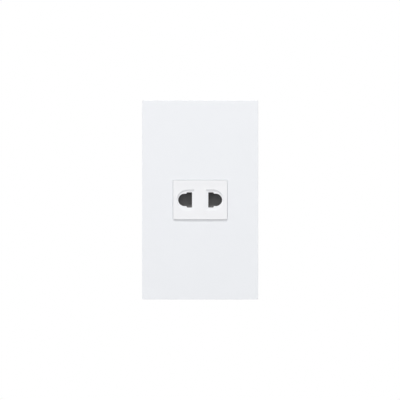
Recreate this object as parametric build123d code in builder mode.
from build123d import *
import os

# Universal two-pin wall socket on a tall screwless plate.
# Frame: +Z up, +X to the right, the front faces -Y. The wall is the plane Y = 0 and the origin lies
# on it behind the middle of the plate. Heights are measured out of the wall, so those of the pieces
# in the wall box are negative. All sizes are in millimetres.

# Cover plate
plate_width = 70.0
plate_height = 120.0
plate_depth = 8.0
plate_wall = 2.0
plate_side_wall = 1.8
plate_corner_radius = 0.8
plate_edge_radius = 0.25
opening_edge_break = 0.3
seat_rib_height = 1.8
seat_rib_width = 1.5
stiffener_height = 1.2
stiffener_width = 1.0
snap_bead_length = 10.0
snap_bead_lap = 0.5
snap_bead_nose = 0.3
snap_bead_side_spacing = 80.0
pry_notch_width = 9.0
pry_notch_height = 1.2

# Socket face, the only moulding of the module that shows from the front
face_width = 32.5
face_height = 23.6
face_proud = 0.6
face_gap = 0.1
face_corner_radius = 0.5
face_edge_radius = 0.05
face_side_wall = 1.6
face_front_wall = 2.0
flange_lap = 1.9
flange_wall = 1.2
flange_clearance = 0.2
mark_field_width = 29.2
mark_field_height = 1.5
mark_field_drop = 0.5
mark_field_raise = 0.1

# Pin slots: a tall flat side for blades, a round end for round pins
slot_inner = 4.9
blade_slot_width = 3.35
blade_slot_height = 9.2
slot_inner_radius = 0.4
slot_outer_radius = 0.7
pin_spacing = 19.0
pin_hole_radius = 3.75
collar_wall = 1.5

# Guide recess round each slot, with a sloped upper wall and a straight lower one
recess_inner = 3.6
recess_centre = 7.8
recess_radius = 6.3
recess_depth = 0.6
recess_upper_run = 0.5

# Safety shutter, which slides down when both pins push on its ramps
widest_blade = 7.94
pad_side_lap = 0.5
pad_end_lap = 0.3
shutter_overtravel = 0.1
shutter_lip = 1.0
shutter_shell = 1.2
bar_height = 3.0
slide_clearance = 0.2
side_clearance = 0.3
stop_clearance = 0.1
floor_clearance = 0.3

# Return spring of the shutter
spring_radius = 1.7
spring_wire = 0.4
spring_turns = 7
spring_peg_radius = 1.1
spring_peg_length = 1.5
spring_seat_gap = 0.05

# Body of the module behind the plate
body_wall = 1.3
column_width = 6.0
body_corner_radius = 1.5
skirt_depth = 0.4
base_depth = 10.7
base_wall = 1.2
core_rib = 1.4
rear_depth = 5.5
rear_wall = 1.5
rear_edge_radius = 0.4
pocket_clearance = 0.15
parting_chamfer = 0.2

# Snap tongues that hold the module in the strap
tongue_width = 8.0
tongue_thickness = 1.2
tongue_length = 5.0
tongue_flex = 0.7
wedge_lap = 0.7
wedge_length = 2.2
wedge_gap = 0.1

# Contacts, bent from one strip each
strip_thickness = 0.5
contact_height = 7.0
contact_mouth_gap = 0.3
blade_spacing = 12.7
blade_gap = 0.95
pin_gap = 3.4
fold_gap = 0.1
leaf_flare = 0.75
leaf_lead = 2.6
leaf_bend_radius = 0.6

# Wire terminals
terminal_x = 9.6
terminal_z = -9.8
tail_width = 6.6
tail_end = 3.4
tail_clearance = 0.15
clamp_width = 7.6
clamp_thickness = 1.0
clamp_corner = 0.8
nut_width = 5.5
nut_thickness = 2.4
nut_clearance = 0.1
terminal_clearance = 0.8
terminal_screw_radius = 1.7
terminal_screw_length = 5.4
terminal_head_radius = 3.2
terminal_head_height = 2.0
screw_relief_depth = 2.6

# Screws that hold the module together
body_screw_radius = 1.1
body_screw_length = 17.5
body_head_radius = 2.2
body_head_height = 1.6
body_head_sink = 2.2
body_screw_inset = 2.9

# Steel mounting strap and its wall-box screws
strap_thickness = 1.2
strap_rail = 6.0
strap_end = 10.0
strap_corner_radius = 4.0
window_gap = 0.3
wing_height = 22.0
wing_depth = 4.0
wing_bend_radius = 0.9
wing_corner_radius = 1.5
box_screw_spacing = 83.5
box_slot_radius = 2.2
box_slot_length = 7.6

# Inner frame between the strap and the cover plate
frame_gap = 1.2
frame_rim_height = 1.0
frame_rim_width = 1.5
frame_window_gap = 0.3
frame_ring_width = 2.0
frame_corner_radius = 2.0
frame_lead_in = 0.5
access_width = 13.0
access_height = 15.0
frame_screw_radius = 1.7
frame_screw_length = 7.0
frame_head_radius = 3.2
frame_head_height = 2.0

# Screw heads and fits that all screws share
drive_slot_length = 1.1
drive_slot_width = 0.8
drive_slot_depth = 0.9
thread_clearance = 0.05
hole_clearance = 0.25
edge_break = 0.3

# Heights out of the wall
plate_inside = plate_depth - plate_wall
face_front = plate_depth + face_proud
face_inside = face_front - face_front_wall
flange_front = plate_inside - flange_clearance
channel_front = flange_front - flange_wall
shutter_front = channel_front - slide_clearance
base_front = -skirt_depth
shutter_back = base_front + slide_clearance
base_back = base_front - base_depth
pocket_front = base_front - base_wall
rear_back = base_back - rear_depth
frame_top = plate_inside - seat_rib_height
frame_floor = frame_top - frame_rim_height
spring_axis = (shutter_front + shutter_back) / 2

# Widths and heights seen from the front
inside_width = plate_width - 2 * plate_side_wall
inside_height = plate_height - 2 * plate_side_wall
opening_width = face_width + 2 * face_gap
opening_height = face_height + 2 * face_gap
slot_outer = pin_spacing / 2 + pin_hole_radius
pad_inner = slot_inner - pad_side_lap
pad_outer = slot_outer + pad_side_lap
pad_top = blade_slot_height / 2 + pad_end_lap
shutter_travel = pad_top + widest_blade / 2 + shutter_overtravel
channel_half = pad_outer + side_clearance
channel_top = pad_top + stop_clearance
channel_floor = -(pad_top + shutter_travel + floor_clearance)
body_half_width = channel_half + column_width
body_half_height = -channel_floor + body_wall
window_width = 2 * (body_half_width + window_gap)
window_height = 2 * (body_half_height + window_gap)
flange_width = window_width + 2 * flange_lap
flange_height = window_height + 2 * flange_lap
frame_width = inside_width - 2 * frame_gap
frame_height = inside_height - 2 * frame_gap
frame_window_width = flange_width + 2 * frame_window_gap
frame_window_height = flange_height + 2 * frame_window_gap
ring_width = frame_window_width + 2 * frame_ring_width
ring_height = frame_window_height + 2 * frame_ring_width
strap_width = window_width + 2 * strap_rail
strap_length = box_screw_spacing + 2 * strap_end
frame_screw_z = (ring_height / 2 + box_screw_spacing / 2 - access_height / 2) / 2
body_screw_x = channel_half + column_width / 2
body_screw_z = body_half_height - body_screw_inset
body_screw_spots = GridLocations(2 * body_screw_x, 2 * body_screw_z, 2, 2)
terminal_spots = [(side * terminal_x, terminal_z) for side in (-1, 1)]

os.makedirs("parts", exist_ok=True)


def front_plane(height):
    """Plane parallel to the wall, facing the room, at a height out of the wall."""
    return Plane.XZ.offset(height)


def pin_slots(grow=0.0, rounded=False):
    """Outline of both pin slots, grown outwards on all sides, with sharp or rounded blade corners."""
    blade_middle = slot_inner + blade_slot_width / 2
    with Locations((-blade_middle, 0), (blade_middle, 0)):
        Rectangle(blade_slot_width + 2 * grow, blade_slot_height + 2 * grow)
    if rounded:
        fillet([corner for corner in vertices() if abs(corner.X) < blade_middle], slot_inner_radius)
        fillet([corner for corner in vertices() if abs(corner.X) > blade_middle], slot_outer_radius)
    for side in (-1, 1):
        with Locations((side * (slot_inner - grow + pin_spacing / 2) / 2, 0)):
            Rectangle(pin_spacing / 2 - slot_inner + grow, 2 * (pin_hole_radius + grow))
        with Locations((side * pin_spacing / 2, 0)):
            Circle(pin_hole_radius + grow)


def ring(outer_width, outer_height, wall):
    """Rectangular ring outline of even wall, measured inwards."""
    Rectangle(outer_width, outer_height)
    Rectangle(outer_width - 2 * wall, outer_height - 2 * wall, mode=Mode.SUBTRACT)


# Cover plate: a shallow moulded tray with a fine opening round the socket face
with BuildPart() as cover_plate:
    with BuildSketch(front_plane(0)):
        RectangleRounded(plate_width, plate_height, plate_corner_radius)
    extrude(amount=plate_depth)
    fillet(cover_plate.edges().group_by(Axis.Y)[0], plate_edge_radius)
    with BuildSketch(front_plane(0)):
        Rectangle(inside_width, inside_height)
    extrude(amount=plate_inside, mode=Mode.SUBTRACT)
    with BuildSketch(front_plane(plate_depth)):
        RectangleRounded(opening_width, opening_height, face_corner_radius + face_gap)
    extrude(amount=-plate_wall, mode=Mode.SUBTRACT)
    front = cover_plate.faces().filter_by(Axis.Y).sort_by(Axis.Y)[0]
    chamfer(front.inner_wires()[0].edges(), opening_edge_break)
    with BuildSketch(front_plane(plate_inside)):
        ring(ring_width, ring_height, seat_rib_width)
    extrude(amount=-seat_rib_height)
    # Low ribs run from the seat rib to the side walls
    with BuildSketch(front_plane(plate_inside)):
        for side in (-1, 1):
            rib_end = inside_height / 2
            with GridLocations(ring_width - stiffener_width, 1, 2, 1):
                with Locations((0, side * (ring_height / 2 + rib_end) / 2)):
                    Rectangle(stiffener_width, rib_end - ring_height / 2)
            rib_side = inside_width / 2
            with GridLocations(1, ring_height - stiffener_width, 1, 2):
                with Locations((side * (ring_width / 2 + rib_side) / 2, 0)):
                    Rectangle(rib_side - ring_width / 2, stiffener_width)
    extrude(amount=-stiffener_height)
    # Snap beads on the side walls catch the back of the inner frame
    bead_reach = frame_gap + snap_bead_lap
    bead_top = strap_thickness - wedge_gap
    for z in (-snap_bead_side_spacing / 2, 0, snap_bead_side_spacing / 2):
        with BuildSketch(Plane.XY.offset(z - snap_bead_length / 2)):
            with BuildLine():
                Polyline(
                    (inside_width / 2, -bead_top),
                    (inside_width / 2 - bead_reach, -bead_top),
                    (inside_width / 2 - bead_reach, -bead_top + snap_bead_nose),
                    (inside_width / 2, 0),
                    close=True,
                )
            make_face()
            mirror(about=Plane.YZ)
        extrude(amount=snap_bead_length)
    # A notch in the lower edge takes the screwdriver that lifts the plate off
    with BuildSketch(front_plane(0)):
        with Locations((0, -plate_height / 2 + plate_side_wall / 2)):
            Rectangle(pry_notch_width, 2 * plate_side_wall)
    extrude(amount=pry_notch_height, mode=Mode.SUBTRACT)
cover_plate.part.label = "cover_plate"
export_step(cover_plate.part, "parts/cover_plate.step")

# Inner frame: screwed on the strap, carries the cover plate
with BuildPart() as inner_frame:
    with BuildSketch(front_plane(strap_thickness)):
        RectangleRounded(frame_width, frame_height, frame_corner_radius)
    extrude(amount=frame_top - strap_thickness)
    chamfer(inner_frame.edges().group_by(Axis.Y)[0], frame_lead_in)
    # The field between the rim and the ring is lower than both
    with BuildSketch(front_plane(frame_top)):
        Rectangle(frame_width - 2 * frame_rim_width, frame_height - 2 * frame_rim_width)
        Rectangle(ring_width, ring_height, mode=Mode.SUBTRACT)
    extrude(amount=-frame_rim_height, mode=Mode.SUBTRACT)
    with BuildSketch(front_plane(strap_thickness)):
        RectangleRounded(frame_window_width, frame_window_height, body_corner_radius)
        with GridLocations(1, box_screw_spacing, 1, 2):
            RectangleRounded(access_width, access_height, frame_corner_radius)
        with GridLocations(1, 2 * frame_screw_z, 1, 2):
            Circle(frame_screw_radius + hole_clearance)
    extrude(amount=frame_top - strap_thickness, mode=Mode.SUBTRACT)
inner_frame.part.label = "inner_frame"
export_step(inner_frame.part, "parts/inner_frame.step")

# Mounting strap: stamped steel with two wings bent back along the module
with BuildPart() as mounting_strap:
    with BuildSketch(front_plane(0)):
        RectangleRounded(strap_width, strap_length, strap_corner_radius)
        RectangleRounded(window_width, window_height, body_corner_radius, mode=Mode.SUBTRACT)
        with GridLocations(1, box_screw_spacing, 1, 2):
            SlotOverall(box_slot_length, 2 * box_slot_radius, rotation=90, mode=Mode.SUBTRACT)
        with GridLocations(1, 2 * frame_screw_z, 1, 2):
            Circle(frame_screw_radius + thread_clearance, mode=Mode.SUBTRACT)
    extrude(amount=strap_thickness)
    with BuildSketch(front_plane(strap_thickness)):
        with GridLocations(window_width + strap_thickness, 1, 2, 1):
            Rectangle(strap_thickness, wing_height)
    extrude(amount=-strap_thickness - wing_depth)
    front_edges = mounting_strap.edges().group_by(Axis.Y)[0].filter_by(Axis.Z)
    bends = front_edges.filter_by(lambda edge: abs(abs(edge.center().X) - window_width / 2) < edge_break)
    fillet(bends, wing_bend_radius)
    fillet(mounting_strap.edges().filter_by(Axis.X).group_by(Axis.Y)[-1], wing_corner_radius)
mounting_strap.part.label = "mounting_strap"
export_step(mounting_strap.part, "parts/mounting_strap.step")

# Socket face: front block with the slots, flange behind the plate, skirt through the strap
with BuildPart() as socket_face:
    with BuildSketch(front_plane(flange_front)):
        RectangleRounded(face_width, face_height, face_corner_radius)
    extrude(amount=face_front - flange_front)
    fillet(socket_face.edges().group_by(Axis.Y)[0], face_edge_radius)
    with BuildSketch(front_plane(strap_thickness)):
        RectangleRounded(flange_width, flange_height, body_corner_radius)
    extrude(amount=flange_front - strap_thickness)
    with BuildSketch(front_plane(base_front)):
        RectangleRounded(2 * body_half_width, 2 * body_half_height, body_corner_radius)
    extrude(amount=strap_thickness - base_front)
    # Raised bare field under the upper edge
    with BuildSketch(front_plane(face_front)):
        with Locations((0, face_height / 2 - mark_field_drop - mark_field_height / 2)):
            Rectangle(mark_field_width, mark_field_height)
    extrude(amount=mark_field_raise)
    # Hollow of the front block, with a collar round each slot
    with BuildSketch(front_plane(channel_front)):
        Rectangle(face_width - 2 * face_side_wall, face_height - 2 * face_side_wall)
    extrude(amount=face_inside - channel_front, mode=Mode.SUBTRACT)
    with BuildSketch(front_plane(channel_front)):
        pin_slots(collar_wall)
    extrude(amount=face_inside - channel_front)
    # Channel in which the shutter slides, and a second hollow above it
    with BuildSketch(front_plane(base_front)):
        with Locations((0, (channel_top + channel_floor) / 2)):
            Rectangle(2 * channel_half, channel_top - channel_floor)
        core_bottom = channel_top + core_rib
        core_top = body_half_height - tongue_thickness - core_rib
        with Locations((0, (core_bottom + core_top) / 2)):
            Rectangle(2 * channel_half, core_top - core_bottom)
    extrude(amount=channel_front - base_front, mode=Mode.SUBTRACT)
    # Guide recesses, lofted from the mouth to a floor that ends lower, then the slots through them
    for side in (-1, 1):
        for depth, run in ((0, 0), (recess_depth, recess_upper_run)):
            low = -recess_radius
            high = recess_radius - run
            with BuildSketch(front_plane(face_front - depth)):
                with BuildLine():
                    Polyline(
                        (side * recess_centre, low),
                        (side * recess_inner, low),
                        (side * recess_inner, high),
                        (side * recess_centre, high),
                    )
                    ThreePointArc(
                        (side * recess_centre, high),
                        (side * (recess_centre + (high - low) / 2), (high + low) / 2),
                        (side * recess_centre, low),
                    )
                make_face()
        loft(ruled=True, mode=Mode.SUBTRACT)
    with BuildSketch(front_plane(face_front)):
        pin_slots(rounded=True)
    extrude(amount=channel_front - face_front, mode=Mode.SUBTRACT)
    # Peg for the return spring on the floor of the channel
    with BuildSketch(Plane.XY.offset(channel_floor)):
        with Locations((0, -spring_axis)):
            Circle(spring_peg_radius)
    extrude(amount=spring_peg_length)
    # Snap tongues above and below, each with a wedge that catches behind the strap
    with BuildSketch(Plane.YZ.offset(-tongue_width / 2)):
        wedge_top = body_half_height + window_gap + wedge_lap
        with BuildLine():
            Polyline(
                (skirt_depth, body_half_height - tongue_thickness),
                (skirt_depth, body_half_height),
                (wedge_gap, body_half_height),
                (wedge_gap, wedge_top),
                (wedge_gap + wedge_length, body_half_height),
                (skirt_depth + tongue_length, body_half_height),
                (skirt_depth + tongue_length, body_half_height - tongue_thickness),
                close=True,
            )
        make_face()
        mirror(about=Plane.XZ)
    extrude(amount=tongue_width)
    with BuildSketch(front_plane(base_front)):
        with body_screw_spots:
            Circle(body_screw_radius + thread_clearance)
    extrude(amount=channel_front - base_front, mode=Mode.SUBTRACT)
socket_face.part.label = "socket_face"
export_step(socket_face.part, "parts/socket_face.step")

# Shutter: two ramped pads joined by a bar, hollow from behind
with BuildPart() as shutter:
    ramp_end = shutter_back + shutter_lip
    ramp_foot = -widest_blade / 2
    with BuildSketch(Plane.YZ.offset(pad_inner)):
        with BuildLine():
            Polyline(
                (-shutter_back, -pad_top),
                (-shutter_front, -pad_top),
                (-shutter_front, ramp_foot),
                (-ramp_end, pad_top),
                (-shutter_back, pad_top),
                close=True,
            )
        make_face()
    extrude(amount=pad_outer - pad_inner)
    with BuildSketch(Plane.YZ.offset(pad_inner + shutter_shell)):
        ramp_slope = (shutter_front - ramp_end) / (pad_top - ramp_foot)
        core_foot = -pad_top + shutter_shell
        core_front = shutter_front - shutter_shell - ramp_slope * (core_foot - ramp_foot)
        with BuildLine():
            Polyline(
                (-shutter_back, core_foot),
                (-core_front, core_foot),
                (-shutter_back, core_foot + (core_front - shutter_back) / ramp_slope),
                close=True,
            )
        make_face()
    extrude(amount=pad_outer - pad_inner - 2 * shutter_shell, mode=Mode.SUBTRACT)
    mirror(about=Plane.YZ)
    with BuildSketch(front_plane(shutter_back)):
        with Locations((0, pad_top - bar_height / 2)):
            Rectangle(2 * pad_inner, bar_height)
    extrude(amount=shutter_front - shutter_back)
    with BuildSketch(Plane.XY.offset(pad_top - bar_height)):
        with Locations((0, -spring_axis)):
            Circle(spring_peg_radius)
    extrude(amount=-spring_peg_length)
shutter.part.label = "shutter"
export_step(shutter.part, "parts/shutter.step")

# Return spring: a plain coil between the floor of the channel and the bar of the shutter
with BuildPart() as shutter_spring:
    spring_bottom = channel_floor + spring_wire / 2 + spring_seat_gap
    spring_height = pad_top - bar_height - channel_floor - spring_wire - 2 * spring_seat_gap
    with BuildLine() as coil:
        Helix(
            spring_height / spring_turns,
            spring_height,
            spring_radius,
            center=(0, -spring_axis, spring_bottom),
        )
    with BuildSketch(Plane(coil.line @ 0, z_dir=coil.line % 0)):
        Circle(spring_wire / 2)
    sweep(path=coil.line, is_frenet=True)
shutter_spring.part.label = "shutter_spring"
export_step(shutter_spring.part, "parts/shutter_spring.step")

# Socket base: its front wall guides the pins, its pockets hold the contacts from behind
pocket_inner = pad_inner
pocket_outer = slot_outer + pocket_clearance
pocket_top = blade_slot_height / 2 + pocket_clearance
tail_bottom = terminal_z - tail_end
with BuildPart() as socket_base:
    with BuildSketch(front_plane(base_front)):
        RectangleRounded(2 * body_half_width, 2 * body_half_height, body_corner_radius)
    extrude(amount=-base_depth)
    chamfer(socket_base.edges().filter_by(Axis.Y, reverse=True), parting_chamfer)
    with BuildSketch(front_plane(base_front)):
        pin_slots()
    extrude(amount=-base_wall, mode=Mode.SUBTRACT)
    core_bottom = pocket_top + core_rib
    core_top = body_half_height - tongue_thickness - tongue_flex - core_rib
    with BuildSketch(front_plane(base_back)):
        for side in (-1, 1):
            with Locations((side * (pocket_inner + pocket_outer) / 2, 0)):
                Rectangle(pocket_outer - pocket_inner, 2 * pocket_top)
            with Locations((side * (pocket_inner + pocket_outer) / 2, (core_bottom + core_top) / 2)):
                Rectangle(pocket_outer - pocket_inner, core_top - core_bottom)
    extrude(amount=base_depth - base_wall, mode=Mode.SUBTRACT)
    # Seats of the contact tails, the nuts under them and the room for the screw ends
    with BuildSketch(front_plane(base_back)):
        for side in (-1, 1):
            with Locations((side * terminal_x, (tail_bottom - tail_clearance) / 2)):
                Rectangle(tail_width + 2 * tail_clearance, -tail_bottom + tail_clearance)
    extrude(amount=strip_thickness, mode=Mode.SUBTRACT)
    with BuildSketch(front_plane(base_back + strip_thickness)):
        with Locations(*terminal_spots):
            Rectangle(nut_width + 2 * nut_clearance, nut_width + 2 * nut_clearance)
    extrude(amount=nut_thickness + nut_clearance, mode=Mode.SUBTRACT)
    with BuildSketch(front_plane(base_back + strip_thickness + nut_thickness)):
        with Locations(*terminal_spots):
            Circle(terminal_screw_radius + hole_clearance)
    extrude(amount=screw_relief_depth, mode=Mode.SUBTRACT)
    # Room for the snap tongues and holes for the body screws
    with BuildSketch(front_plane(base_front)):
        tongue_room = tongue_thickness + tongue_flex
        with GridLocations(1, 2 * body_half_height - tongue_room, 1, 2):
            Rectangle(tongue_width + 2 * side_clearance, tongue_room)
    extrude(amount=-tongue_length - side_clearance, mode=Mode.SUBTRACT)
    with BuildSketch(front_plane(base_front)):
        with body_screw_spots:
            Circle(body_screw_radius + hole_clearance)
    extrude(amount=-base_depth, mode=Mode.SUBTRACT)
socket_base.part.label = "socket_base"
export_step(socket_base.part, "parts/socket_base.step")

# Rear cover: closes the contact pockets and leaves the two terminals open to the back
with BuildPart() as rear_cover:
    with BuildSketch(front_plane(base_back)):
        RectangleRounded(2 * body_half_width, 2 * body_half_height, body_corner_radius)
    extrude(amount=-rear_depth)
    fillet(rear_cover.edges().group_by(Axis.Y)[-1], rear_edge_radius)
    chamfer(rear_cover.edges().group_by(Axis.Y)[0], parting_chamfer)
    terminal_top = terminal_z + clamp_width / 2 + terminal_clearance
    with BuildSketch(front_plane(base_back)):
        for side in (-1, 1):
            with Locations((side * terminal_x, (terminal_top - body_half_height) / 2)):
                Rectangle(clamp_width + 2 * terminal_clearance, terminal_top + body_half_height)
    extrude(amount=-rear_depth, mode=Mode.SUBTRACT)
    hollow_bottom = terminal_top + core_rib
    hollow_top = body_half_height - body_wall
    with BuildSketch(front_plane(base_back)):
        with Locations((0, (hollow_bottom + hollow_top) / 2)):
            Rectangle(2 * pocket_outer, hollow_top - hollow_bottom)
        Rectangle(core_rib, 2 * body_half_height, mode=Mode.SUBTRACT)
    extrude(amount=rear_wall - rear_depth, mode=Mode.SUBTRACT)
    with BuildSketch(front_plane(rear_back)):
        with body_screw_spots:
            Circle(body_head_radius + hole_clearance)
    extrude(amount=body_head_sink, mode=Mode.SUBTRACT)
    with BuildSketch(front_plane(rear_back)):
        with body_screw_spots:
            Circle(body_screw_radius + hole_clearance)
    extrude(amount=rear_depth, mode=Mode.SUBTRACT)
rear_cover.part.label = "rear_cover"
export_step(rear_cover.part, "parts/rear_cover.step")

# Contacts: leaf, web, folded middle leaf, web and outer leaf from one strip, with a tail to the terminal
half_strip = strip_thickness / 2
mouth = -(pocket_front - contact_mouth_gap) + half_strip
web = -base_back - half_strip
fold_half = (strip_thickness + fold_gap) / 2
fold_x = blade_spacing / 2 + blade_gap / 2 + half_strip + fold_half
inner_leaf_x = blade_spacing / 2 - blade_gap / 2 - half_strip
outer_leaf_x = fold_x + fold_half + half_strip + pin_gap + half_strip
leaf_pinch = mouth + leaf_lead
with BuildPart() as contact_right:
    with BuildSketch(Plane.XY.offset(-contact_height / 2)):
        with BuildLine():
            FilletPolyline(
                (inner_leaf_x - leaf_flare, mouth),
                (inner_leaf_x, leaf_pinch),
                (inner_leaf_x - half_strip, web),
                (fold_x - fold_half, web),
                (fold_x - fold_half, mouth + fold_half),
                radius=leaf_bend_radius,
            )
            ThreePointArc(
                (fold_x - fold_half, mouth + fold_half),
                (fold_x, mouth),
                (fold_x + fold_half, mouth + fold_half),
            )
            FilletPolyline(
                (fold_x + fold_half, mouth + fold_half),
                (fold_x + fold_half, web),
                (outer_leaf_x + half_strip, web),
                (outer_leaf_x, leaf_pinch),
                (outer_leaf_x + leaf_flare, mouth),
                radius=leaf_bend_radius,
            )
        trace(line_width=strip_thickness)
    extrude(amount=contact_height)
    with BuildSketch(front_plane(base_back)):
        with Locations((terminal_x, tail_bottom / 2)):
            Rectangle(tail_width, -tail_bottom)
        with Locations((terminal_x, terminal_z)):
            Circle(terminal_screw_radius + hole_clearance, mode=Mode.SUBTRACT)
    extrude(amount=strip_thickness)
contact_right.part.label = "contact_right"
export_step(contact_right.part, "parts/contact_right.step")

with BuildPart() as contact_left:
    add(contact_right.part)
    mirror(about=Plane.YZ)
    split(bisect_by=Plane.YZ, keep=Keep.BOTTOM)
contact_left.part.label = "contact_left"
export_step(contact_left.part, "parts/contact_left.step")

# Wire terminals: square clamp plate behind each tail, square nut in front of it
for side, name in ((-1, "clamp_plate_left"), (1, "clamp_plate_right")):
    with BuildPart() as clamp_plate:
        with BuildSketch(front_plane(base_back)):
            with Locations((side * terminal_x, terminal_z)):
                RectangleRounded(clamp_width, clamp_width, clamp_corner)
                Circle(terminal_screw_radius + hole_clearance, mode=Mode.SUBTRACT)
        extrude(amount=-clamp_thickness)
    clamp_plate.part.label = name
    export_step(clamp_plate.part, f"parts/{name}.step")

with BuildPart() as terminal_nuts:
    with BuildSketch(front_plane(base_back + strip_thickness)):
        with Locations(*terminal_spots):
            Rectangle(nut_width, nut_width)
            Circle(terminal_screw_radius + thread_clearance, mode=Mode.SUBTRACT)
    extrude(amount=nut_thickness)
terminal_nuts.part.label = "terminal_nuts"
export_step(terminal_nuts.part, "parts/terminal_nuts.step")


def pan_head_screws(seats, radius, length, head_radius, head_height):
    """Group of equal screws. On each seat plane the shank runs up the local Y axis, the head below."""
    with BuildPart() as screws:
        for seat in seats:
            with BuildSketch(seat):
                with BuildLine():
                    Polyline(
                        (0, -head_height),
                        (0, length),
                        (radius - edge_break, length),
                        (radius, length - edge_break),
                        (radius, 0),
                        (head_radius, 0),
                        (head_radius, -head_height / 2),
                    )
                    TangentArc(
                        (head_radius, -head_height / 2),
                        (head_radius - head_height / 2, -head_height),
                        tangent=(0, -1),
                    )
                    Line((head_radius - head_height / 2, -head_height), (0, -head_height))
                make_face()
            revolve(axis=Axis(seat.origin, seat.y_dir))
            drive = Plane(seat.origin - seat.y_dir * head_height, x_dir=seat.x_dir, z_dir=-seat.y_dir)
            with BuildSketch(drive):
                Rectangle(drive_slot_length * head_radius, drive_slot_width)
                Rectangle(drive_slot_width, drive_slot_length * head_radius)
            extrude(amount=-drive_slot_depth, mode=Mode.SUBTRACT)
    return screws


# Terminal screws go in from behind, through clamp plate and tail into the nut
clamp_back = base_back - clamp_thickness
terminal_screws = pan_head_screws(
    [Plane((x, -clamp_back, z), x_dir=(1, 0, 0), z_dir=(0, 0, -1)) for x, z in terminal_spots],
    terminal_screw_radius,
    terminal_screw_length,
    terminal_head_radius,
    terminal_head_height,
)
terminal_screws.part.label = "terminal_screws"
export_step(terminal_screws.part, "parts/terminal_screws.step")

# Body screws go in from behind, through rear cover and base into the columns of the face
body_seat = rear_back + body_head_sink
body_screws = pan_head_screws(
    [
        Plane((x, -body_seat, z), x_dir=(1, 0, 0), z_dir=(0, 0, -1))
        for x in (-body_screw_x, body_screw_x)
        for z in (-body_screw_z, body_screw_z)
    ],
    body_screw_radius,
    body_screw_length,
    body_head_radius,
    body_head_height,
)
body_screws.part.label = "body_screws"
export_step(body_screws.part, "parts/body_screws.step")

# Frame screws go in from the front and hold the inner frame on the strap
frame_screws = pan_head_screws(
    [Plane((0, -frame_floor, z), x_dir=(1, 0, 0), z_dir=(0, 0, 1)) for z in (-frame_screw_z, frame_screw_z)],
    frame_screw_radius,
    frame_screw_length,
    frame_head_radius,
    frame_head_height,
)
frame_screws.part.label = "frame_screws"
export_step(frame_screws.part, "parts/frame_screws.step")
